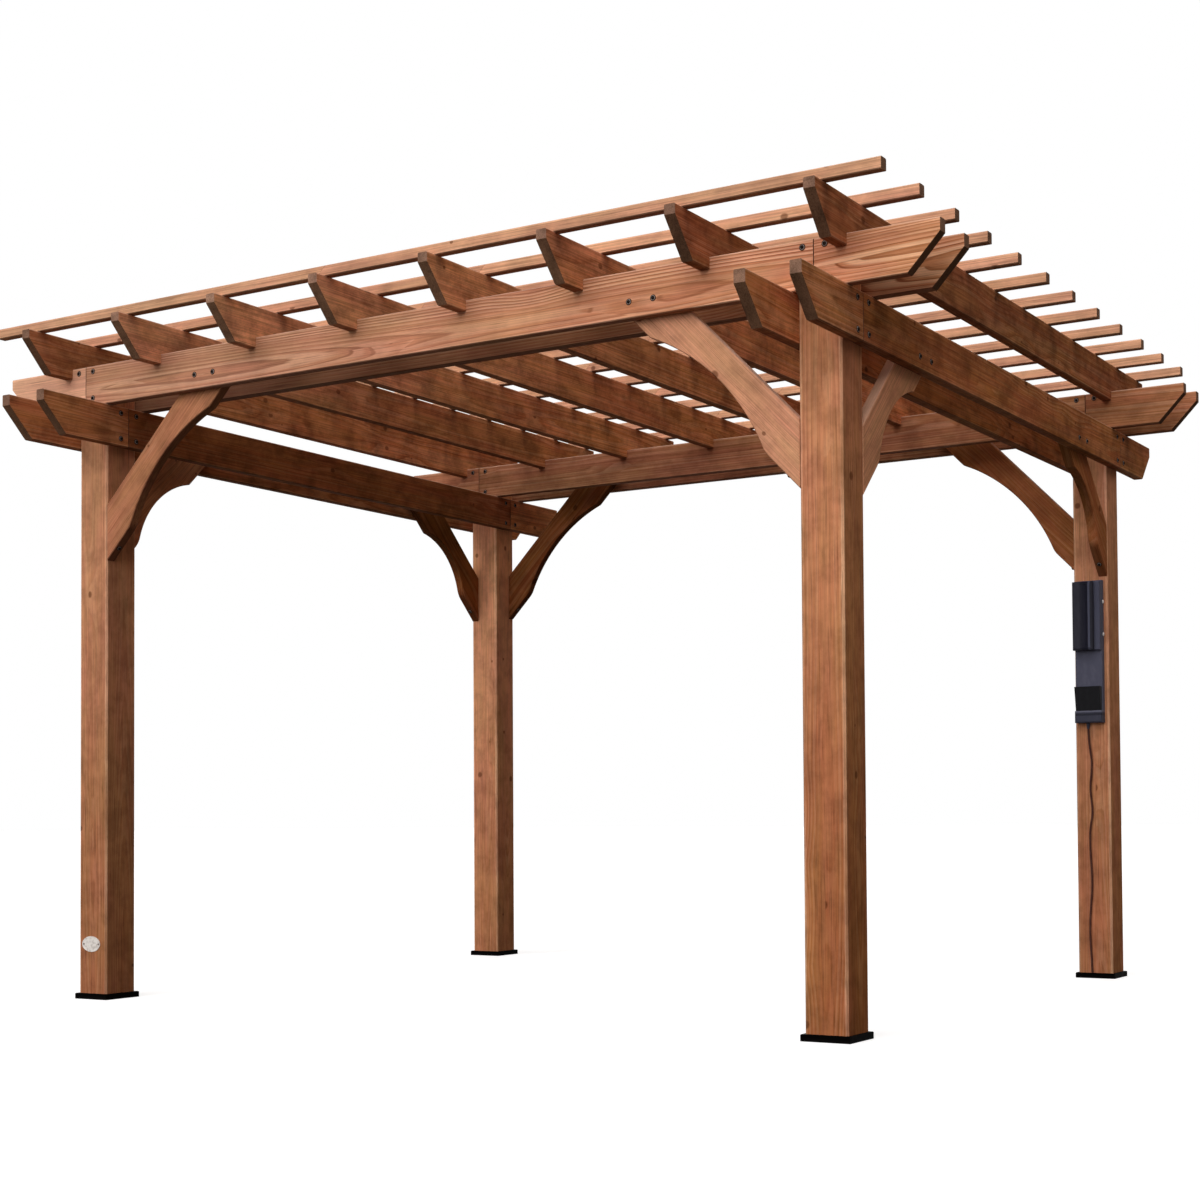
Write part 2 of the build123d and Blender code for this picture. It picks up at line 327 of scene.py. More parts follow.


# Boards: how far the logs differ, how the stain takes on them, how the weather changes it, and the painted
# shade and painted skylight on faces that look down and up
POST_EASE, BOARD_EASE = 0.005, 0.0025
LOG_SPREAD, LOG_TONE, RING_SPREAD, FAINT_RING = 60.0, (0.92, 1.08), (0.8, 1.3), 0.25
FIBRE_CYCLES, STAIN_CYCLES = (3.0, 320.0, 320.0), (2.1, 11.0, 11.0)
TINT_RANGE, HUE_KEPT, HUE_DRIFT = (0.3, 0.7), 0.5, 0.007
FACING_DOWN, UNDERSIDE_PAINTED_SHADE = (-0.7, -0.2), 0.55
FACING_UP, WEATHERED_AND_SKYLIT_SHARE = (0.4, 0.7), 0.55
WOOD_ROUGHNESS, WOOD_GLOSS, WOOD_RELIEF = (0.55, 0.72), 0.003, (0.3, 0.001)


def stained_wood(
    name,
    heart,
    grain,
    log,
    pith,
    ring_width,
    lines,
    mottle,
    streak,
    richness=1.0,
    knot_sizes=(0.003, 0.009),
    knot_share=0.5,
    swell_share=0.0,
    half_section=None,
    ease=BOARD_EASE,
    pale_corner_shares=(0.0, 0.32),
    row_pitch=None,
    far_row=1.0,
    bleach=(0.0, 0.0),
    depth=(1.0, 1.0),
    run=2.0,
):
    """Stained sawn wood. Its grain follows the local X axis of a frame at heart, turned by grain.

    Log is the number of the log, and pith how far that log's own heart lies from the middle of the board.
    Boards in rows along the local Y axis, row_pitch apart, are each cut from another log, and far_row is
    the tone of the rows on the far side, a painted shade where it darkens them. Lines is how strong the
    rings show, mottle and streak how unevenly the stain took in patches and along the fibres, and richness
    how full its colour is. Of all branches, knot_share show as knots of knot_sizes, and swell_share only
    swell the rings. A piece of half_section has its corners, eased by ease, paled by the shares in
    pale_corner_shares, partly as wear and partly as a painted highlight. Bleach is the share by which the
    sun has paled the wood, with painted light towards the tops of the posts, and depth the tone that the
    stain gave it, with painted
    shade on pieces that stand in shade: both are given at heart and at the end of a run along the grain.
    Faces that look down are darkened as painted shade, and faces that look up are paled, partly by
    weathering and partly as painted skylight.
    """
    material, tree, shader = new_finish(name)
    here = whereabouts(tree)
    turned_place = {"Vector": here["Object"], "Location": heart, "Rotation": grain}
    local = add_node(tree, "Mapping", turned_place, vector_type="TEXTURE").outputs[0]
    along, across, height = axes(tree, local)
    paled = fade(tree, along, 0.0, run, *bleach)
    # The stain's depth along the grain, which on pieces in shade and at the posts' feet is painted shade.
    stain_depth_and_shade = fade(tree, along, 0.0, run, *depth)
    number = log
    if row_pitch:
        row = reckon(tree, "FLOOR", reckon(tree, "DIVIDE", across, row_pitch))
        middle = product(tree, reckon(tree, "ADD", row, 0.5), row_pitch)
        across = reckon(tree, "SUBTRACT", across, middle)
        number = reckon(tree, "ADD", row, log)

    # The stretch of the log that the board is cut from, with its knots and rings
    first, second, third = channels(tree, luck(tree, number)["Color"])
    along = reckon(tree, "MULTIPLY_ADD", first, LOG_SPREAD, along)
    in_log = point_at(tree, along, across, height)
    angle, radius = round_the_heart(tree, in_log, pith, second, third)
    knot, flame, swell = knots_and_swells(tree, along, angle, radius, knot_sizes, knot_share, swell_share)
    ring_width = product(tree, fade(tree, third, 0.0, 1.0, *RING_SPREAD), ring_width)
    ring, strength = growth_rings(tree, in_log, reckon(tree, "ADD", radius, swell), ring_width, first)

    # The tone of this log and of its stain
    fibre = stretched_noise(tree, in_log, FIBRE_CYCLES, detail=3.0, roughness=0.6)[0]
    stain, stain_tint = stretched_noise(tree, in_log, STAIN_CYCLES, detail=4.0, roughness=0.6)
    tone = stain_tone(tree, in_log, fibre, stain, mottle, streak)
    tone = product(tree, tone, fade(tree, second, 0.0, 1.0, *LOG_TONE), stain_depth_and_shade)
    # Rows on the far side take the far_row tone: on the front header a painted shade.
    if row_pitch:
        tone = product(tree, tone, fade(tree, row, -1.0, 0.0, 1.0, far_row))

    # Rings, bleached wood, worn corners with a painted highlight, and knots, then the stain, the painted
    # shade and the weather over them
    share = fade(tree, strength, 0.0, 1.0, FAINT_RING * lines, lines)
    colour = blend(tree, reckon(tree, "MAXIMUM", share, flame), WARM_WOOD, ring)
    colour = blend(tree, paled, colour, BLEACHED_WOOD)
    if half_section:
        # The eased corners are paled: partly wear, partly a painted highlight.
        pale_corner = paled_corner(tree, in_log, half_section, ease)
        pale_corner = product(tree, pale_corner, fade(tree, stain, *TINT_RANGE, *pale_corner_shares))
        colour = blend(tree, pale_corner, colour, WORN_AND_HIGHLIT_WOOD)
    colour = blend(tree, knot, colour, KNOT_WOOD)
    upward = axes(tree, here["Normal"])[2]
    tint = channels(tree, stain_tint)[1]
    hue = fade(tree, tint, *TINT_RANGE, HUE_KEPT - HUE_DRIFT, HUE_KEPT + HUE_DRIFT)
    # Faces that look down are darkened: a painted shade.
    shaded = product(tree, tone, fade(tree, upward, *FACING_DOWN, UNDERSIDE_PAINTED_SHADE, 1.0))
    stained_colour = {"Color": colour, "Hue": hue, "Saturation": richness, "Value": shaded}
    colour = add_node(tree, "HueSaturation", stained_colour).outputs[0]
    # Faces that look up are paled: partly weathering, partly a painted skylight.
    colour = blend(tree, fade(tree, upward, *FACING_UP, 0.0, WEATHERED_AND_SKYLIT_SHARE), colour, WEATHERED_AND_SKYLIT_WOOD)
    colour = cut_ends(tree, here["Normal"], grain, colour, tone)
    roughness = fade(tree, fibre, *NOISE_RANGE, *WOOD_ROUGHNESS)
    lay_finish(tree, shader, colour, roughness, WOOD_GLOSS, fibre, WOOD_RELIEF)
    return material


POST_X, POST_Y, POST_HALF = 1.444, 1.159, 0.067
POST_DEPTH = {"front_left": 1.0, "front_right": 0.95, "rear_left": 1.1, "rear_right": 1.02}
POST_BLEACH = {"front_left": 0.1, "front_right": 0.0, "rear_left": 0.12, "rear_right": 0.1}
POST_RICHNESS = {"front_left": 1.02, "front_right": 1.04, "rear_left": 1.02, "rear_right": 1.02}
# The posts are darker towards the foot, a painted shade, and paler towards the top, a painted light.
FOOT_PAINTED_SHADE, TOP_PAINTED_LIGHT = 0.68, 0.3
POST_LOG = 3.0
UP_THE_POST = (0.0, -pi / 2, 0.0)
for end, y in SIDES_Y:
    for side, x in SIDES_X:
        corner = f"{end}_{side}"
        depth, bleach = POST_DEPTH[corner], POST_BLEACH[corner]
        post_wood = stained_wood(
            f"post_{corner}_wood",
            (x * POST_X, y * POST_Y, 0.0),
            UP_THE_POST,
            log=POST_LOG + 2 * y + x,
            pith=(0.02, 0.02),
            ring_width=0.0044,
            lines=0.3,
            mottle=0.6,
            streak=0.64,
            richness=POST_RICHNESS[corner],
            knot_share=0.4,
            half_section=(POST_HALF, POST_HALF),
            ease=POST_EASE,
            pale_corner_shares=(0.12, 0.7),
            bleach=(bleach, bleach + TOP_PAINTED_LIGHT),
            depth=(FOOT_PAINTED_SHADE * depth, depth),
        )
        put_on(f"post_{corner}", post_wood)


# Side beams and their tails: pairs of boards along the depth that clasp the posts, butted at the post
# centres and bolted there. Flat-sawn softwood with arched grain on the wide faces and darker, drier end
# grain at the cuts.
BOARD_PITCH = 0.170
BOARD_HALF = (0.018, 0.070)
BEAM_MIDDLE = 2.030
BEAM_LOG = 20.0
# Beam tones: the left beam's darker tone is mostly painted shade under the roof.
BEAM_DEPTH_AND_SHADE = {"left": 0.66, "right": 0.9}
TAIL_DEPTH, TAIL_BLEACH = 1.0, 0.1
ALONG_DEPTH = (0.0, 0.0, pi / 2)
for side, x in SIDES_X:
    beam_names = (f"front_{side}_beam_tails", f"{side}_beam", f"rear_{side}_beam_tails")
    for count, beam_name in enumerate(beam_names):
        bleach, depth = TAIL_BLEACH, TAIL_DEPTH
        if beam_name == f"{side}_beam":
            bleach, depth = 0.0, BEAM_DEPTH_AND_SHADE[side]
        beam_wood = stained_wood(
            beam_name + "_wood",
            (x * POST_X, 0.0, BEAM_MIDDLE),
            ALONG_DEPTH,
            log=BEAM_LOG + 12 * x + 3 * count,
            pith=(0.07, 0.045),
            ring_width=0.008,
            lines=0.35,
            mottle=0.9,
            streak=1.05,
            richness=1.04,
            half_section=BOARD_HALF,
            row_pitch=BOARD_PITCH,
            bleach=(bleach, bleach),
            depth=(depth, depth),
        )
        put_on(beam_name, beam_wood)


# Headers and their tails: the same doubled boards across the width, laid on the side beams and bolted
# through the post tops. The front ones are sawn across bold rings and paler at the left, where the sun
# has bleached them, and the left tails most of all.
HEADER_MIDDLE = BEAM_MIDDLE + 2 * BOARD_HALF[1]
HEADER_REACH = 1.825
HEADER_LOG = {"front": 56.0, "rear": 73.0}
HEADER_LINES = {"front": 0.95, "rear": 0.45}
HEADER_MOTTLE = {"front": 0.25, "rear": 0.6}
HEADER_STREAK = {"front": 0.75, "rear": 1.0}
# The far board of the front header and the whole rear header are darkened as painted shade under the roof.
HEADER_FAR_ROW_SHADE = {"front": 0.72, "rear": 1.0}
HEADER_RICHNESS = {"front": 0.97, "rear": 0.98}
HEADER_DEPTH_AND_SHADE = {"front": (0.83, 1.2), "rear": (0.76, 0.83)}
HEADER_BLEACH = {"front": (0.42, 0.0), "rear": (0.12, 0.0)}
PALE_TAIL_BLEACH, PALE_TAIL_DEPTH = (0.8, 0.8), (1.1, 1.1)
ALONG_WIDTH = (0.0, 0.0, 0.0)
for end, y in SIDES_Y:
    header_names = (f"{end}_header_left_tails", f"{end}_header", f"{end}_header_right_tails")
    for count, header_name in enumerate(header_names):
        bleach, depth = HEADER_BLEACH[end], HEADER_DEPTH_AND_SHADE[end]
        if header_name == "front_header_left_tails":
            bleach, depth = PALE_TAIL_BLEACH, PALE_TAIL_DEPTH
        header_wood = stained_wood(
            header_name + "_wood",
            (-HEADER_REACH, y * POST_Y, HEADER_MIDDLE),
            ALONG_WIDTH,
            log=HEADER_LOG[end] + 4 * count,
            pith=(0.07, 0.045),
            ring_width=0.006,
            lines=HEADER_LINES[end],
            mottle=HEADER_MOTTLE[end],
            streak=HEADER_STREAK[end],
            richness=HEADER_RICHNESS[end],
            knot_share=0.14,
            swell_share=0.16,
            half_section=BOARD_HALF,
            row_pitch=BOARD_PITCH,
            far_row=HEADER_FAR_ROW_SHADE[end],
            bleach=bleach,
            depth=depth,
            run=2 * HEADER_REACH,
        )
        put_on(header_name, header_wood)


# Knee braces: sawn from wide softwood boards with the grain along the slope, the lower edge cut to an arch.
# Each lies flush with the post's outer face and tucks in behind the outer board, where it is bolted.
BRACE_HALF = 0.018
BRACE_LINE_X = POST_X + POST_HALF - BRACE_HALF
BRACE_LINE_Y = POST_Y + POST_HALF - BRACE_HALF
BRACE_SLOPE = pi / 4
HEADER_BRACE_HEART_X, HEADER_BRACE_HEART_Z = 1.15, 1.87
BEAM_BRACE_HEART_Y, BEAM_BRACE_HEART_Z = 0.9, 1.8
# Brace tones: the rear braces, most of all the rear left ones, are darkened as painted shade under the roof.
BRACE_DEPTH_AND_SHADE = {"front_left": 0.76, "front_right": 0.94, "rear_left": 0.4, "rear_right": 0.66}
BRACE_BLEACH = {"front_left": 0.18, "front_right": 0.46, "rear_left": 0.0, "rear_right": 0.1}
BRACE_RICHNESS = {"front": 1.0, "rear": 1.08}
BEAM_BRACE_PALER = 1.2
HEADER_BRACE_LOG, BEAM_BRACE_LOG = 101.0, 121.0
for end, y in SIDES_Y:
    for side, x in SIDES_X:
        corner = f"{end}_{side}"
        bleach = BRACE_BLEACH[corner]
        header_heart = (x * HEADER_BRACE_HEART_X, y * BRACE_LINE_Y, HEADER_BRACE_HEART_Z)
        beam_heart = (x * BRACE_LINE_X, y * BEAM_BRACE_HEART_Y, BEAM_BRACE_HEART_Z)
        header_slope = (0.0, x * BRACE_SLOPE, 0.0)
        beam_slope = (0.0, y * BRACE_SLOPE, pi / 2)
        header_brace_depth_and_shade = BRACE_DEPTH_AND_SHADE[corner]
        beam_brace_depth_and_shade = BEAM_BRACE_PALER * header_brace_depth_and_shade
        braces = (
            (f"{corner}_header_brace", header_heart, header_slope, HEADER_BRACE_LOG, header_brace_depth_and_shade),
            (f"{corner}_beam_brace", beam_heart, beam_slope, BEAM_BRACE_LOG, beam_brace_depth_and_shade),
        )
        for brace_name, heart, slope, first_log, depth in braces:
            brace_wood = stained_wood(
                brace_name + "_wood",
                heart,
                slope,
                log=first_log + 2 * y + x,
                pith=(0.05, 0.06),
                ring_width=0.010,
                lines=0.3,
                mottle=0.5,
                streak=0.8,
                richness=BRACE_RICHNESS[end],
                knot_sizes=(0.003, 0.01),
                knot_share=0.85,
                bleach=(bleach, bleach),
                depth=(depth, depth),
            )
            put_on(brace_name, brace_wood)


# Rafters: eight softwood boards on edge along the depth, notched over the four header boards.
# Their tails are cut as the beams' are. The second to the fourth from the left are bleached palest in front.
RAFTER_REACH = 1.529
RAFTER_FRONT = -1.538
RAFTER_MIDDLE = 2.275
RAFTER_LOG = 141.0
RAFTER_BLEACH = (0.12, 0.5, 0.5, 0.48, 0.32, 0.18, 0.08, 0.06)
RAFTER_DEPTH = (
    (0.78, 1.0),
    (1.36, 1.0),
    (1.36, 1.1),
    (1.34, 1.1),
    (1.36, 1.1),
    (1.16, 1.1),
    (0.86, 1.1),
    (0.8, 0.75),
)
LAST_RAFTER = len(RAFTER_DEPTH) - 1
for count, (bleach, depth) in enumerate(zip(RAFTER_BLEACH, RAFTER_DEPTH)):
    rafter_wood = stained_wood(
        f"rafter_{count + 1}_wood",
        (RAFTER_REACH * (2 * count / LAST_RAFTER - 1), RAFTER_FRONT, RAFTER_MIDDLE),
        ALONG_DEPTH,
        log=RAFTER_LOG + 2 * count,
        pith=(0.07, 0.045),
        ring_width=0.009,
        lines=0.35,
        mottle=1.0,
        streak=1.1,
        richness=1.01,
        half_section=BOARD_HALF,
        bleach=(bleach, 0.0),
        depth=depth,
    )
    put_on(f"rafter_{count + 1}", rafter_wood)


# Slats: twelve square softwood laths laid across the rafters and paled all over by the sun.
# Each is in two lengths that meet in a slanted scarf over a middle rafter.
SLAT_PITCH = 0.254
SLAT_HALF = (0.017, 0.017)
SLAT_MIDDLE = RAFTER_MIDDLE + BOARD_HALF[1] + SLAT_HALF[1]
SLAT_BLEACH = 0.68
SLAT_LOG = 190.0
for end, y in SIDES_Y:
    for side, x in SIDES_X:
        slat_wood = stained_wood(
            f"{end}_slats_{side}_wood",
            (0.0, 0.0, SLAT_MIDDLE),
            ALONG_WIDTH,
            log=SLAT_LOG + 40 * y + 20 * x,
            pith=(0.04, 0.03),
            ring_width=0.007,
            lines=0.8,
            mottle=0.4,
            streak=1.15,
            half_section=SLAT_HALF,
            row_pitch=SLAT_PITCH,
            bleach=(SLAT_BLEACH, SLAT_BLEACH),
        )
        put_on(f"{end}_purlins_{side}", slat_wood)


# Bolts: domed steel coach bolts on washers, each in a bored seat whose shade is painted as a thin dark disc
# on the face. Four show on each face of a butt joint and two on the outer board at the head of each brace,
# with one more through the brace's foot. The heads are pressed and blackened, and the washers are plain
# grey.
SEAT_PAINTED_SHADE, SEAT_SHADE_SCUFFED = (0.03, 0.013, 0.006, 1.0), (0.06, 0.027, 0.013, 1.0)
WASHER_GREY, WASHER_SCUFFED = (0.2, 0.165, 0.145, 1.0), (0.32, 0.28, 0.26, 1.0)
BOLT_BLACK, BOLT_SCUFFED = (0.014, 0.01, 0.008, 1.0), (0.045, 0.034, 0.028, 1.0)
STEEL_CYCLES, STEEL_SCUFFS = (260.0, 260.0, 260.0), (0.45, 0.75)
STEEL_ROUGHNESS, STEEL_GLOSS, STEEL_RELIEF = (0.35, 0.6), 0.006, (0.15, 0.0004)
SHARP_ANGLE = 40
WELD_DISTANCE = 1e-6


def as_mesh(name, shape):
    """Mesh from a finished bmesh."""
    mesh = bpy.data.meshes.new(name)
    shape.to_mesh(mesh)
    shape.free()
    return mesh


def set_out(name, data):
    """Object for a mesh, a curve, a lamp or a camera, put in the scene."""
    item = bpy.data.objects.new(name, data)
    scene.collection.objects.link(item)
    return item


def turned(name, profile, sides):
    """Mesh turned from a profile of radius and height about the Z axis."""
    lathe = bmesh.new()
    corners = [lathe.verts.new((out, 0.0, up)) for out, up in profile]
    edges = [lathe.edges.new(pair) for pair in zip(corners, corners[1:])]
    axis = {"cent": (0, 0, 0), "axis": (0, 0, 1), "angle": 2 * pi, "steps": sides, "use_merge": True}
    bmesh.ops.spin(lathe, geom=corners + edges, use_duplicate=False, **axis)
    bmesh.ops.remove_doubles(lathe, verts=lathe.verts, dist=WELD_DISTANCE)
    bmesh.ops.recalc_face_normals(lathe, faces=lathe.faces)
    return as_mesh(name, lathe)


def joined(name, pattern, places, material):
    """One piece made of a pattern mesh set at each place."""
    whole = bmesh.new()
    for place in places:
        before = len(whole.verts)
        whole.from_mesh(pattern)
        whole.verts.ensure_lookup_table()
        bmesh.ops.transform(whole, matrix=place, verts=whole.verts[before:])
    mesh = as_mesh(name, whole)
    mesh.materials.append(material)
    mesh.shade_smooth()
    mesh.set_sharp_from_angle(angle=radians(SHARP_ANGLE))
    piece = set_out(name, mesh)
    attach(piece, "root")
    return piece


def hardware_steel(name, colour, scuffed):
    """Dull, coated fastener steel with scuffs."""
    material, tree, shader = new_finish(name)
    place = whereabouts(tree)["Object"]
    scuff = stretched_noise(tree, place, STEEL_CYCLES, detail=3.0)[0]
    coat = blend(tree, fade(tree, scuff, *STEEL_SCUFFS), colour, scuffed)
    roughness = fade(tree, scuff, *NOISE_RANGE, *STEEL_ROUGHNESS)
    lay_finish(tree, shader, coat, roughness, STEEL_GLOSS, scuff, STEEL_RELIEF)
    return material


def facing(point, outward):
    """Place whose Z axis points outward from a face."""
    return Matrix.Translation(point) @ Vector(outward).to_track_quat("Z", "Y").to_matrix().to_4x4()


BOLT_SIDES = 16
SEAT_SHADE_PROFILE = ((0.0, 0.0), (0.0101, 0.0), (0.0098, 0.0004), (0.0, 0.0005))
WASHER_PROFILE = ((0.0, 0.0004), (0.0077, 0.0004), (0.0077, 0.0012), (0.0072, 0.0017), (0.0, 0.0018))
DOME_PROFILE = (
    (0.0, 0.0018),
    (0.0054, 0.0018),
    (0.0052, 0.0032),
    (0.0043, 0.0045),
    (0.0024, 0.0053),
    (0.0, 0.0056),
)
BOARD_FACE = BOARD_PITCH / 2 + BOARD_HALF[0]
HEADER_BOLT_X, HEADER_BOLT_Z = 0.035, (2.126, 2.221)
BEAM_BOLT_Y, BEAM_BOLT_Z = 0.036, (1.986, 2.077)
BRACE_BOLT = 0.042
HEADER_BRACE_X = POST_X - 0.568
BEAM_BRACE_Y = POST_Y - 0.438
HEADER_BRACE_Z, BEAM_BRACE_Z = 2.149, 1.999
HEADER_BRACE_TIP, BEAM_BRACE_TIP = 1.551, 1.538
FOOT_BOLT_OUT = 0.042
bolt_places = []
for _, y in SIDES_Y:
    for _, x in SIDES_X:
        for aside in (-1, 1):
            for face in (-1, 1):
                for z in HEADER_BOLT_Z:
                    point = (x * POST_X + aside * HEADER_BOLT_X, y * POST_Y + face * BOARD_FACE, z)
                    bolt_places.append(facing(point, (0, face, 0)))
                for z in BEAM_BOLT_Z:
                    point = (x * POST_X + face * BOARD_FACE, y * POST_Y + aside * BEAM_BOLT_Y, z)
                    bolt_places.append(facing(point, (face, 0, 0)))
            point = (x * (HEADER_BRACE_X + aside * BRACE_BOLT), y * (POST_Y + BOARD_FACE), HEADER_BRACE_Z)
            bolt_places.append(facing(point, (0, y, 0)))
            point = (x * (POST_X + BOARD_FACE), y * (BEAM_BRACE_Y + aside * BRACE_BOLT), BEAM_BRACE_Z)
            bolt_places.append(facing(point, (x, 0, 0)))
        out = POST_HALF + FOOT_BOLT_OUT
        tip = (x * (POST_X - out), y * BRACE_LINE_Y, HEADER_BRACE_TIP + FOOT_BOLT_OUT)
        bolt_places.append(facing(tip, (-x, 0, -1)))
        tip = (x * BRACE_LINE_X, y * (POST_Y - out), BEAM_BRACE_TIP + FOOT_BOLT_OUT)
        bolt_places.append(facing(tip, (0, -y, -1)))
# The seats are thin dark discs on the wood: painted shade that stands for bored holes.
seat_painted_shade = hardware_steel("bolt_seat_painted_shade", SEAT_PAINTED_SHADE, SEAT_SHADE_SCUFFED)
washer_grey = hardware_steel("washer_grey_steel", WASHER_GREY, WASHER_SCUFFED)
bolt_black = hardware_steel("bolt_black_steel", BOLT_BLACK, BOLT_SCUFFED)
joined("painted_bolt_seat_shade", turned("seat_shade_pattern", SEAT_SHADE_PROFILE, BOLT_SIDES), bolt_places, seat_painted_shade)
joined("bolt_washers", turned("washer_pattern", WASHER_PROFILE, BOLT_SIDES), bolt_places, washer_grey)
bolts = joined("bolt_heads", turned("bolt_pattern", DOME_PROFILE, BOLT_SIDES), bolt_places, bolt_black)


# Oval plate: a small bare plate near the foot of the front left post, pressed from sheet with a raised rim.
# It is enamelled white, a little grimy, and held by two round-headed screws.
PLATE_PLACE = (-1.4508, -POST_Y - POST_HALF, 0.194)
PLATE_HALF = (0.044, 0.0275)
PLATE_THICK, PLATE_SEGMENTS = 0.002, 48
RIM_WIDTH, RIM_HEIGHT = 0.0035, 0.0008
PLATE_WHITE, PLATE_GRIMY = (0.66, 0.62, 0.56, 1.0), (0.34, 0.29, 0.24, 1.0)
GRIME_CYCLES, GRIME_RANGE, ENAMEL_ROUGHNESS = (90.0, 90.0, 90.0), (0.45, 0.8), (0.3, 0.5)
SCREW_ASIDE, SCREW_SIDES = 0.036, 12
SCREW_PROFILE = ((0.0, 0.0), (0.0036, 0.0), (0.0034, 0.0012), (0.002, 0.0021), (0.0, 0.0024))
sheet = bmesh.new()
bmesh.ops.create_circle(sheet, cap_ends=True, radius=1.0, segments=PLATE_SEGMENTS)
bmesh.ops.scale(sheet, vec=(*PLATE_HALF, 1.0), verts=sheet.verts)
raised = bmesh.ops.extrude_face_region(sheet, geom=sheet.faces[:])["geom"]
lifted = [item for item in raised if isinstance(item, bmesh.types.BMVert)]
bmesh.ops.translate(sheet, vec=(0.0, 0.0, PLATE_THICK), verts=lifted)
front = [item for item in raised if isinstance(item, bmesh.types.BMFace)]
bmesh.ops.inset_region(sheet, faces=front, thickness=RIM_WIDTH, depth=0.0)
bmesh.ops.inset_region(sheet, faces=front, thickness=RIM_HEIGHT, depth=-RIM_HEIGHT)
bmesh.ops.recalc_face_normals(sheet, faces=sheet.faces)
bmesh.ops.transform(sheet, matrix=facing(PLATE_PLACE, (0, -1, 0)), verts=sheet.verts)
plate_white, tree, shader = new_finish("plate_white_enamel")
place = whereabouts(tree)["Object"]
grime = stretched_noise(tree, place, GRIME_CYCLES, detail=4.0)[0]
enamel = blend(tree, fade(tree, grime, *GRIME_RANGE), PLATE_WHITE, PLATE_GRIMY)
tree.links.new(enamel, shader.inputs["Base Color"])
tree.links.new(fade(tree, grime, *NOISE_RANGE, *ENAMEL_ROUGHNESS), shader.inputs["Roughness"])
oval_plate = set_out("oval_plate", as_mesh("oval_plate", sheet))
oval_plate.data.materials.append(plate_white)
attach(oval_plate, "root")
screw_places = []
for aside in (-1, 1):
    off_centre = Vector((aside * SCREW_ASIDE, RIM_HEIGHT - PLATE_THICK, 0.0))
    screw_places.append(facing(Vector(PLATE_PLACE) + off_centre, (0, -1, 0)))
joined("plate_screws", turned("screw_pattern", SCREW_PROFILE, SCREW_SIDES), screw_places, washer_grey)


# Power unit: a charcoal housing on the front face of the rear right post, with an outlet hood and an open
# pocket. All are injection moulded plastic with a fine spark-eroded texture. Two bright screws hold the
# hood at the housing's right edge.
UNIT_X = 1.440
UNIT_GREY, UNIT_SCUFFED = (0.07, 0.071, 0.1, 1.0), (0.088, 0.089, 0.12, 1.0)
HOOD_GREY, HOOD_SCUFFED = (0.023, 0.023, 0.0315, 1.0), (0.031, 0.031, 0.041, 1.0)
POCKET_BLACK, POCKET_SCUFFED = (0.007, 0.007, 0.008, 1.0), (0.011, 0.011, 0.012, 1.0)
UNIT_ROUGHNESS, HOOD_ROUGHNESS, POCKET_ROUGHNESS = 0.5, 0.4, 0.5
SCUFF_SMOOTHER, SCUFF_ROUGHER = 0.08, 0.1
TEXTURE_CYCLES = (900.0, 900.0, 900.0)
SCUFF_CYCLES, SCUFF_RANGE = (60.0, 60.0, 25.0), (0.4, 0.75)
PLASTIC_GLOSS, PLASTIC_RELIEF = 0.06, (0.2, 0.0003)


def moulded_plastic(name, colour, scuffed, roughness, bands=None):
    """Moulded plastic with a fine texture, light scuffs and, where it has them, bands of another shade."""
    material, tree, shader = new_finish(name)
    place = whereabouts(tree)["Object"]
    texture = stretched_noise(tree, place, TEXTURE_CYCLES, detail=2.0)[0]
    scuff = stretched_noise(tree, place, SCUFF_CYCLES, detail=4.0)[0]
    shade = blend(tree, fade(tree, scuff, *SCUFF_RANGE), colour, scuffed)
    if bands:
        shade = bands(tree, place, shade)
    rough = fade(tree, scuff, *NOISE_RANGE, roughness - SCUFF_SMOOTHER, roughness + SCUFF_ROUGHER)
    lay_finish(tree, shader, shade, rough, PLASTIC_GLOSS, texture, PLASTIC_RELIEF)
    return material


SILL_TOP, SILL_GROOVE, SILL_BEAD_HALF = 1.017, 1.008, 0.004
SILL_DARK, SILL_SHARE = (0.017, 0.018, 0.026, 1.0), 0.62
# The dark groove line is painted shade, and the pale bead line a painted highlight.
GROOVE_PAINTED_SHADE, GROOVE_SHADE_SHARE = (0.008, 0.008, 0.012, 1.0), 0.7
BEAD_PAINTED_HIGHLIGHT, BEAD_HIGHLIGHT_SHARE = (0.112, 0.114, 0.15, 1.0), 0.8


def sill_bands(tree, place, shade):
    """The sill below the pocket, darker than the panel, with painted shade in its groove and a painted
    highlight on the bead above.
    """
    height = axes(tree, place)[2]
    sill = reckon(tree, "LESS_THAN", height, SILL_TOP)
    groove = reckon(tree, "COMPARE", height, SILL_GROOVE, SILL_BEAD_HALF)
    bead = reckon(tree, "COMPARE", height, SILL_TOP + SILL_BEAD_HALF, SILL_BEAD_HALF)
    shade = blend(tree, product(tree, sill, SILL_SHARE), shade, SILL_DARK)
    shade = blend(tree, product(tree, groove, GROOVE_SHADE_SHARE), shade, GROOVE_PAINTED_SHADE)
    return blend(tree, product(tree, bead, BEAD_HIGHLIGHT_SHARE), shade, BEAD_PAINTED_HIGHLIGHT)


# Across the hood's door a dark band is a painted reflection, and the rib's pale stripe is a painted
# highlight.
DARK_REFLECTION_LEFT, DARK_REFLECTION_RIGHT = (-0.026, -0.008), (0.011, 0.0095)
RIB_LEFT, RIB_RIGHT, DOOR_EDGE = 0.012, 0.020, 0.0285
PAINTED_DARK_REFLECTION = (0.007, 0.007, 0.014, 1.0)
RIB_PAINTED_HIGHLIGHT = (0.064, 0.068, 0.098, 1.0)
HOOD_FRAME = (0.06, 0.062, 0.09, 1.0)


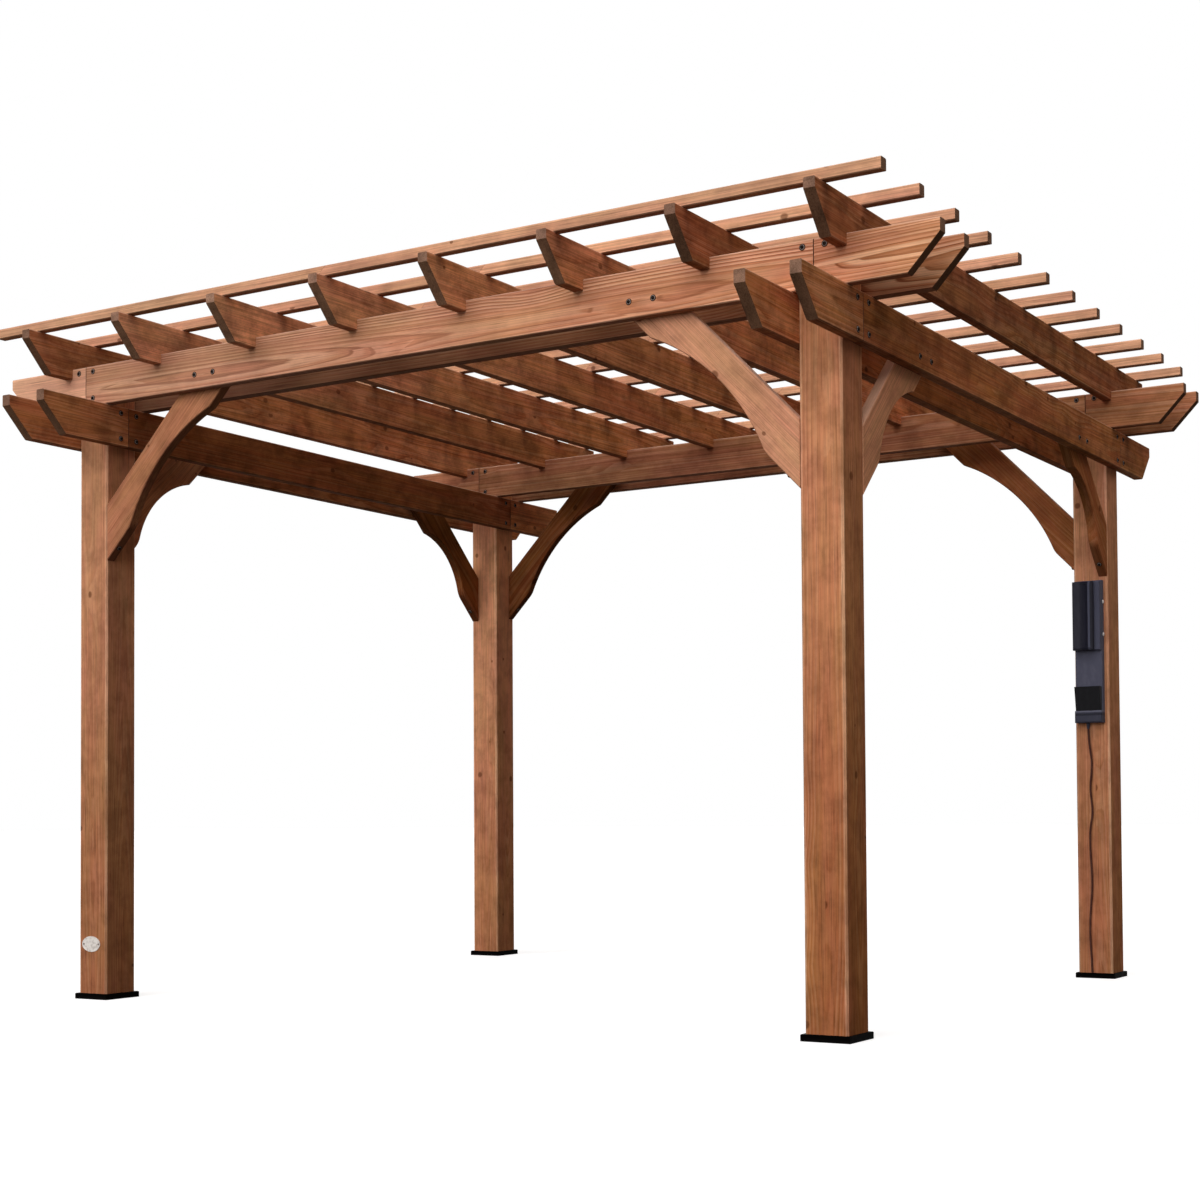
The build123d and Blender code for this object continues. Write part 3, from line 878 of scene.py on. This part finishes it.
def hood_bands(tree, place, shade):
    """The hood's door, with a painted dark reflection across it and a painted highlight on its rib, and its
    frame, as pale as the housing.
    """
    aside = reckon(tree, "SUBTRACT", axes(tree, place)[0], UNIT_X)
    dark_reflection = product(tree, fade(tree, aside, *DARK_REFLECTION_LEFT), fade(tree, aside, *DARK_REFLECTION_RIGHT))
    past_left = reckon(tree, "GREATER_THAN", aside, RIB_LEFT)
    rib = product(tree, past_left, reckon(tree, "LESS_THAN", aside, RIB_RIGHT))
    shade = blend(tree, dark_reflection, shade, PAINTED_DARK_REFLECTION)
    shade = blend(tree, rib, shade, RIB_PAINTED_HIGHLIGHT)
    return blend(tree, reckon(tree, "GREATER_THAN", aside, DOOR_EDGE), shade, HOOD_FRAME)


unit_grey = moulded_plastic("unit_charcoal_plastic", UNIT_GREY, UNIT_SCUFFED, UNIT_ROUGHNESS, sill_bands)
hood_grey = moulded_plastic("hood_charcoal_plastic", HOOD_GREY, HOOD_SCUFFED, HOOD_ROUGHNESS, hood_bands)
pocket_black = moulded_plastic("pocket_black_plastic", POCKET_BLACK, POCKET_SCUFFED, POCKET_ROUGHNESS)
put_on("power_housing", unit_grey)
put_on("outlet_hood", hood_grey)
put_on("phone_pocket", pocket_black)
POST_FACE = POST_Y - POST_HALF
HOUSING_EDGE = 0.054
LUG_OFF_POST, LUG_HEIGHTS = 0.009, (1.3155, 1.440)
LUG_BRIGHT, LUG_SCUFFED = (0.75, 0.72, 0.7, 1.0), (0.5, 0.47, 0.45, 1.0)
LUG_PROFILE = (
    (0.0, 0.0),
    (0.0075, 0.0),
    (0.0073, 0.0016),
    (0.0056, 0.003),
    (0.0026, 0.0036),
    (0.0, 0.0037),
)
lug_places = []
for z in LUG_HEIGHTS:
    lug_places.append(facing((UNIT_X + HOUSING_EDGE, POST_FACE - LUG_OFF_POST, z), (1, 0, 0)))
lug_bright = hardware_steel("unit_screw_bright_steel", LUG_BRIGHT, LUG_SCUFFED)
joined("unit_screws", turned("lug_pattern", LUG_PROFILE, SCREW_SIDES), lug_places, lug_bright)


# Supply lead: a round lead in a dark rubber sheath that hangs from the unit's gland, close to the post,
# and goes into the foot plate. Its line wanders a little from side to side, as a lead does that was
# once coiled.
LEAD_DIAMETER = 0.008
LEAD_ORDER, LEAD_STEPS, LEAD_ROUNDNESS = 3, 8, 4
LEAD_DARK, LEAD_DUSTY = (0.05, 0.017, 0.011, 1.0), (0.09, 0.038, 0.025, 1.0)
LEAD_CYCLES, LEAD_DUST = (120.0, 120.0, 40.0), (0.4, 0.8)
LEAD_ROUGHNESS, LEAD_GLOSS, LEAD_RELIEF = (0.45, 0.65), 0.06, (0.15, 0.0004)
LEAD_ROUTE = (
    (-0.014, 0.008, 0.955),
    (-0.014, 0.008, 0.930),
    (-0.009, 0.007, 0.878),
    (-0.002, 0.0054, 0.828),
    (-0.005, 0.005, 0.780),
    (-0.011, 0.0058, 0.734),
    (-0.006, 0.0066, 0.680),
    (-0.001, 0.006, 0.629),
    (-0.013, 0.0048, 0.574),
    (-0.014, 0.0052, 0.520),
    (-0.012, 0.006, 0.462),
    (-0.008, 0.0056, 0.400),
    (-0.008, 0.0046, 0.336),
    (-0.014, 0.0048, 0.274),
    (-0.018, 0.0056, 0.216),
    (-0.019, 0.005, 0.160),
    (-0.016, 0.0044, 0.106),
    (-0.013, 0.0046, 0.060),
    (-0.012, 0.005, 0.0203),
)
lead_points = [(POST_X + aside, POST_FACE - off, up) for aside, off, up in LEAD_ROUTE]
lead_line = bpy.data.curves.new("supply_lead", "CURVE")
lead_line.dimensions = "3D"
lead_spline = lead_line.splines.new("NURBS")
lead_spline.points.add(len(lead_points) - 1)
for control, lead_point in zip(lead_spline.points, lead_points):
    control.co = (*lead_point, 1.0)
lead_spline.order_u = LEAD_ORDER
lead_spline.use_endpoint_u = True
lead_spline.resolution_u = LEAD_STEPS
lead_line.bevel_depth = LEAD_DIAMETER / 2
lead_line.bevel_resolution = LEAD_ROUNDNESS
lead_line.use_fill_caps = True
lead_sheath, tree, shader = new_finish("lead_dark_sheath")
place = whereabouts(tree)["Object"]
dust = stretched_noise(tree, place, LEAD_CYCLES, detail=3.0)[0]
sheath = blend(tree, fade(tree, dust, *LEAD_DUST), LEAD_DARK, LEAD_DUSTY)
roughness = fade(tree, dust, *NOISE_RANGE, *LEAD_ROUGHNESS)
lay_finish(tree, shader, sheath, roughness, LEAD_GLOSS, dust, LEAD_RELIEF)
lead_line.materials.append(lead_sheath)
supply_lead = set_out("supply_lead", lead_line)
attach(supply_lead, "root")
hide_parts("lead")


# Studio: a wide pale floor and a white surround, a broad key light from the front, a weak warm light from
# the right and a back light from the rear left. The floor and the surround look white but throw little
# light on the wood, so that the undersides stay dark.
FLOOR_HALF, FLOOR_DROP = 90.0, 0.0005
FLOOR_LIT, FLOOR_SEEN, FLOOR_GLOW = (0.12, 0.11, 0.1, 1.0), (0.5, 0.5, 0.5, 1.0), 0.7
FLOOR_ROUGHNESS, FLOOR_GLOSS = 0.9, 0.0
WHITE = (1.0, 1.0, 1.0, 1.0)
WARM_LIGHT, WARM_STRENGTH = (1.0, 0.84, 0.68, 1.0), 0.13


def seen_white(tree):
    """One where the eye, a reflection or a see-through ray meets the surround."""
    path = add_node(tree, "LightPath", {}).outputs
    seen = reckon(tree, "MAXIMUM", path["Is Camera Ray"], path["Is Glossy Ray"])
    return reckon(tree, "MAXIMUM", seen, path["Is Transmission Ray"])


def studio_sun(name, toward, strength, spread, tint):
    """Broad even light that comes from one direction, spread over an angle in degrees."""
    sun = bpy.data.lights.new(name, "SUN")
    sun.color = tint
    sun.energy = strength
    sun.angle = radians(spread)
    lamp = set_out(name, sun)
    lamp.rotation_euler = Vector(toward).to_track_quat("Z", "Y").to_euler()


floor_sheet = bmesh.new()
bmesh.ops.create_grid(floor_sheet, x_segments=1, y_segments=1, size=FLOOR_HALF)
bmesh.ops.translate(floor_sheet, vec=(0.0, 0.0, -FLOOR_DROP), verts=floor_sheet.verts)
floor_pale, tree, shader = new_finish("floor_pale")
seen = seen_white(tree)
tree.links.new(blend(tree, seen, FLOOR_LIT, FLOOR_SEEN), shader.inputs["Base Color"])
shader.inputs["Roughness"].default_value = FLOOR_ROUGHNESS
shader.inputs["Specular IOR Level"].default_value = FLOOR_GLOSS
shader.inputs["Emission Color"].default_value = WHITE
tree.links.new(product(tree, seen, FLOOR_GLOW), shader.inputs["Emission Strength"])
studio_floor = set_out("studio_floor", as_mesh("studio_floor", floor_sheet))
studio_floor.data.materials.append(floor_pale)

surround = bpy.data.worlds.new("white_surround")
surround.use_nodes = True
tree = surround.node_tree
background = tree.nodes["Background"]
seen = seen_white(tree)
tree.links.new(blend(tree, seen, WARM_LIGHT, WHITE), background.inputs["Color"])
tree.links.new(fade(tree, seen, 0.0, 1.0, WARM_STRENGTH, 1.0), background.inputs["Strength"])
scene.world = surround

studio_sun("key_light", toward=(-0.05, -0.85, 0.52), strength=3.22, spread=70.0, tint=(1.0, 1.0, 1.05))
studio_sun("side_light", toward=(0.66, -0.14, 0.74), strength=0.4, spread=25.0, tint=(1.0, 0.88, 0.74))
studio_sun("back_light", toward=(-0.5, 0.75, 0.45), strength=1.3, spread=40.0, tint=(1.0, 1.0, 1.0))


# Camera: low at the front right and nearly level, so that the posts stay upright in the picture.
# The lens axis lies right of the picture's middle and below it: the focal length and the axis are in
# pixels of the square picture.
PICTURE_SIDE = 1200
FOCAL, AXIS_X, AXIS_Y = 1906.354, 700.0, 760.0
SENSOR = 36.0
FARTHEST = 300.0
CAMERA_PLACE = (3.80963, -5.99188, 0.62936)
CAMERA_HEADING, CAMERA_TILT, CAMERA_ROLL = radians(30.12), radians(91.695), radians(-0.426)
camera_lens = bpy.data.cameras.new("camera")
camera_lens.sensor_width = SENSOR
camera_lens.lens = SENSOR * FOCAL / PICTURE_SIDE
camera_lens.shift_x = (PICTURE_SIDE / 2 - AXIS_X) / PICTURE_SIDE
camera_lens.shift_y = (AXIS_Y - PICTURE_SIDE / 2) / PICTURE_SIDE
camera_lens.clip_end = FARTHEST
camera = set_out("camera", camera_lens)
camera_turn = Matrix.Rotation(CAMERA_HEADING, 4, "Z") @ Matrix.Rotation(CAMERA_TILT, 4, "X")
camera_turn = camera_turn @ Matrix.Rotation(CAMERA_ROLL, 4, "Z")
camera.matrix_world = Matrix.Translation(CAMERA_PLACE) @ camera_turn
scene.camera = camera
scene.view_settings.view_transform = "Standard"
